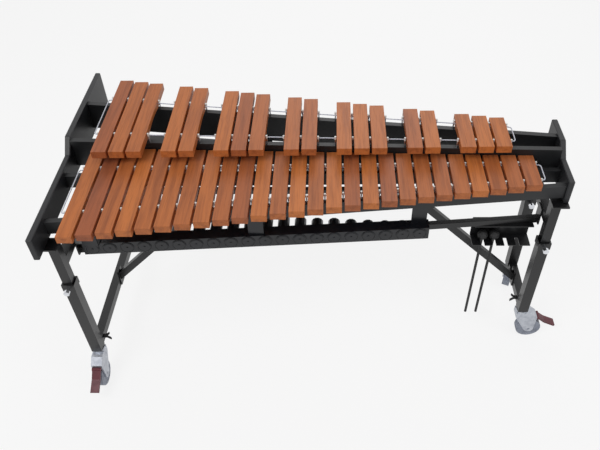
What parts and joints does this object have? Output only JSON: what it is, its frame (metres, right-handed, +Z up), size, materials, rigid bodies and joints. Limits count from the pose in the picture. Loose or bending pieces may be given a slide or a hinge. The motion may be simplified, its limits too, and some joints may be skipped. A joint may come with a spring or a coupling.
{
  "type": "concert xylophone",
  "caption": "Concert xylophone: graduated wooden bars in two rows on cords and posts, horizontal resonator tubes, and a height-adjustable black stand on swivel casters.",
  "frame": {"origin": "on the floor, under the middle of the outline in plan", "axes": "+X along the keys towards the treble end, +Y away from the player, +Z up"},
  "size_m": [1.4886, 0.7298, 0.6855],
  "materials": {
    "bars": "satin lacquer",
    "black_wood": "satin paint",
    "black_steel": "semi-gloss",
    "resonators": "semi-gloss",
    "chrome": "polished",
    "caster": "satin",
    "wheel": "matt",
    "pedal": "matt",
    "black_plastic": "matt"
  },
  "bodies": {
    "frame": {"accidental_bars": "bars", "accidental_front_rail": "black_wood", "accidental_rear_rail": "black_wood", "accidental_resonators": "resonators", "brace_left": "black_steel", "brace_right": "black_steel", "centre_beam": "black_steel", "end_board_left": "black_wood", "end_board_right": "black_wood", "front_beam": "black_steel", "inner_leg_front_left": "black_steel", "inner_leg_front_right": "black_steel", "inner_leg_rear_left": "black_steel", "inner_leg_rear_right": "black_steel", "mallet_holder": "black_steel", "natural_bars": "bars", "natural_front_rail": "black_wood", "natural_rear_rail": "black_wood", "natural_resonators": "resonators", "upper_crossbar_left": "black_steel", "upper_crossbar_right": "black_steel"},
    "lower_frame_left": {"outer_leg_front_left": "black_steel", "outer_leg_rear_left": "black_steel", "lower_crossbar_left": "black_steel"},
    "lower_frame_right": {"outer_leg_front_right": "black_steel", "outer_leg_rear_right": "black_steel", "lower_crossbar_right": "black_steel"},
    "fork_front_left": {"caster_fork_front_left": "caster"},
    "wheel_front_left": {"caster_wheel_front_left": "wheel"},
    "pedal_front_left": {"brake_pedal_front_left": "pedal"},
    "screw_front_left": {"clamp_screw_front_left": "chrome"},
    "wing_front_left": {"wing_bolt_front_left": "black_plastic"},
    "fork_rear_left": {"caster_fork_rear_left": "caster"},
    "wheel_rear_left": {"caster_wheel_rear_left": "wheel"},
    "pedal_rear_left": {"brake_pedal_rear_left": "pedal"},
    "screw_rear_left": {"clamp_screw_rear_left": "chrome"},
    "wing_rear_left": {"wing_bolt_rear_left": "black_plastic"},
    "fork_front_right": {"caster_fork_front_right": "caster"},
    "wheel_front_right": {"caster_wheel_front_right": "wheel"},
    "pedal_front_right": {"brake_pedal_front_right": "pedal"},
    "screw_front_right": {"clamp_screw_front_right": "chrome"},
    "wing_front_right": {"wing_bolt_front_right": "black_plastic"},
    "fork_rear_right": {"caster_fork_rear_right": "caster"},
    "wheel_rear_right": {"caster_wheel_rear_right": "wheel"},
    "pedal_rear_right": {"brake_pedal_rear_right": "pedal"},
    "screw_rear_right": {"clamp_screw_rear_right": "chrome"},
    "wing_rear_right": {"wing_bolt_rear_right": "black_plastic"},
    "mallet_body_1": {"mallet_1": "black_plastic"},
    "mallet_body_2": {"mallet_2": "black_plastic"}
  },
  "joints": [
    {"name": "height_left", "type": "slide", "parent": "frame", "child": "lower_frame_left", "axis": [0, 0, -1], "range_m": [0, 0.15]},
    {"name": "height_right", "type": "slide", "parent": "frame", "child": "lower_frame_right", "axis": [0, 0, -1], "range_m": [0, 0.15]},
    {"name": "swivel_front_left", "type": "hinge", "parent": "lower_frame_left", "child": "fork_front_left", "pos_m": [-0.6325, -0.2531, 0.1197], "axis": [0, 0, 1], "continuous": true},
    {"name": "roll_front_left", "type": "hinge", "parent": "fork_front_left", "child": "wheel_front_left", "pos_m": [-0.6325, -0.2861, 0.0375], "axis": [1, 0, 0], "continuous": true},
    {"name": "brake_front_left", "type": "hinge", "parent": "fork_front_left", "child": "pedal_front_left", "pos_m": [-0.6325, -0.3069, 0.0867], "axis": [1, 0, 0], "range_deg": [0, 10]},
    {"name": "clamp_turn_front_left", "type": "hinge", "parent": "lower_frame_left", "child": "screw_front_left", "pos_m": [-0.6325, -0.2704, 0.409], "axis": [0, 1, 0], "continuous": true},
    {"name": "wing_turn_front_left", "type": "hinge", "parent": "lower_frame_left", "child": "wing_front_left", "pos_m": [-0.6197, -0.2201, 0.1325], "axis": [1, 0, 0], "continuous": true},
    {"name": "swivel_rear_left", "type": "hinge", "parent": "lower_frame_left", "child": "fork_rear_left", "pos_m": [-0.6325, 0.3279, 0.1197], "axis": [0, 0, 1], "continuous": true},
    {"name": "roll_rear_left", "type": "hinge", "parent": "fork_rear_left", "child": "wheel_rear_left", "pos_m": [-0.6655, 0.3279, 0.0375], "axis": [0, -1, 0], "continuous": true},
    {"name": "brake_rear_left", "type": "hinge", "parent": "fork_rear_left", "child": "pedal_rear_left", "pos_m": [-0.6863, 0.3279, 0.0867], "axis": [0, -1, 0], "range_deg": [0, 10]},
    {"name": "clamp_turn_rear_left", "type": "hinge", "parent": "lower_frame_left", "child": "screw_rear_left", "pos_m": [-0.6325, 0.3106, 0.409], "axis": [0, 1, 0], "continuous": true},
    {"name": "wing_turn_rear_left", "type": "hinge", "parent": "lower_frame_left", "child": "wing_rear_left", "pos_m": [-0.6197, 0.2949, 0.1325], "axis": [1, 0, 0], "continuous": true},
    {"name": "swivel_front_right", "type": "hinge", "parent": "lower_frame_right", "child": "fork_front_right", "pos_m": [0.6325, -0.1021, 0.1197], "axis": [0, 0, 1], "continuous": true},
    {"name": "roll_front_right", "type": "hinge", "parent": "fork_front_right", "child": "wheel_front_right", "pos_m": [0.6655, -0.1021, 0.0375], "axis": [0, 1, 0], "continuous": true},
    {"name": "brake_front_right", "type": "hinge", "parent": "fork_front_right", "child": "pedal_front_right", "pos_m": [0.6863, -0.1021, 0.0867], "axis": [0, 1, 0], "range_deg": [0, 10]},
    {"name": "clamp_turn_front_right", "type": "hinge", "parent": "lower_frame_right", "child": "screw_front_right", "pos_m": [0.6325, -0.1194, 0.409], "axis": [0, 1, 0], "continuous": true},
    {"name": "wing_turn_front_right", "type": "hinge", "parent": "lower_frame_right", "child": "wing_front_right", "pos_m": [0.6197, -0.0691, 0.1325], "axis": [1, 0, 0], "continuous": true},
    {"name": "swivel_rear_right", "type": "hinge", "parent": "lower_frame_right", "child": "fork_rear_right", "pos_m": [0.6325, 0.0759, 0.1197], "axis": [0, 0, 1], "continuous": true},
    {"name": "roll_rear_right", "type": "hinge", "parent": "fork_rear_right", "child": "wheel_rear_right", "pos_m": [0.64645, 0.10581, 0.0375], "axis": [-0.9063, 0.4226, 0], "continuous": true},
    {"name": "brake_rear_right", "type": "hinge", "parent": "fork_rear_right", "child": "pedal_rear_right", "pos_m": [0.65524, 0.12466, 0.0867], "axis": [-0.9063, 0.4226, 0], "range_deg": [0, 10]},
    {"name": "clamp_turn_rear_right", "type": "hinge", "parent": "lower_frame_right", "child": "screw_rear_right", "pos_m": [0.6325, 0.0586, 0.409], "axis": [0, 1, 0], "continuous": true},
    {"name": "wing_turn_rear_right", "type": "hinge", "parent": "lower_frame_right", "child": "wing_rear_right", "pos_m": [0.6197, 0.0429, 0.1325], "axis": [1, 0, 0], "continuous": true},
    {"name": "mallet_out_1", "type": "slide", "parent": "frame", "child": "mallet_body_1", "axis": [0, -1, 0], "range_m": [0, 0.08]},
    {"name": "mallet_out_2", "type": "slide", "parent": "frame", "child": "mallet_body_2", "axis": [0, -1, 0], "range_m": [0, 0.08]}
  ]
}
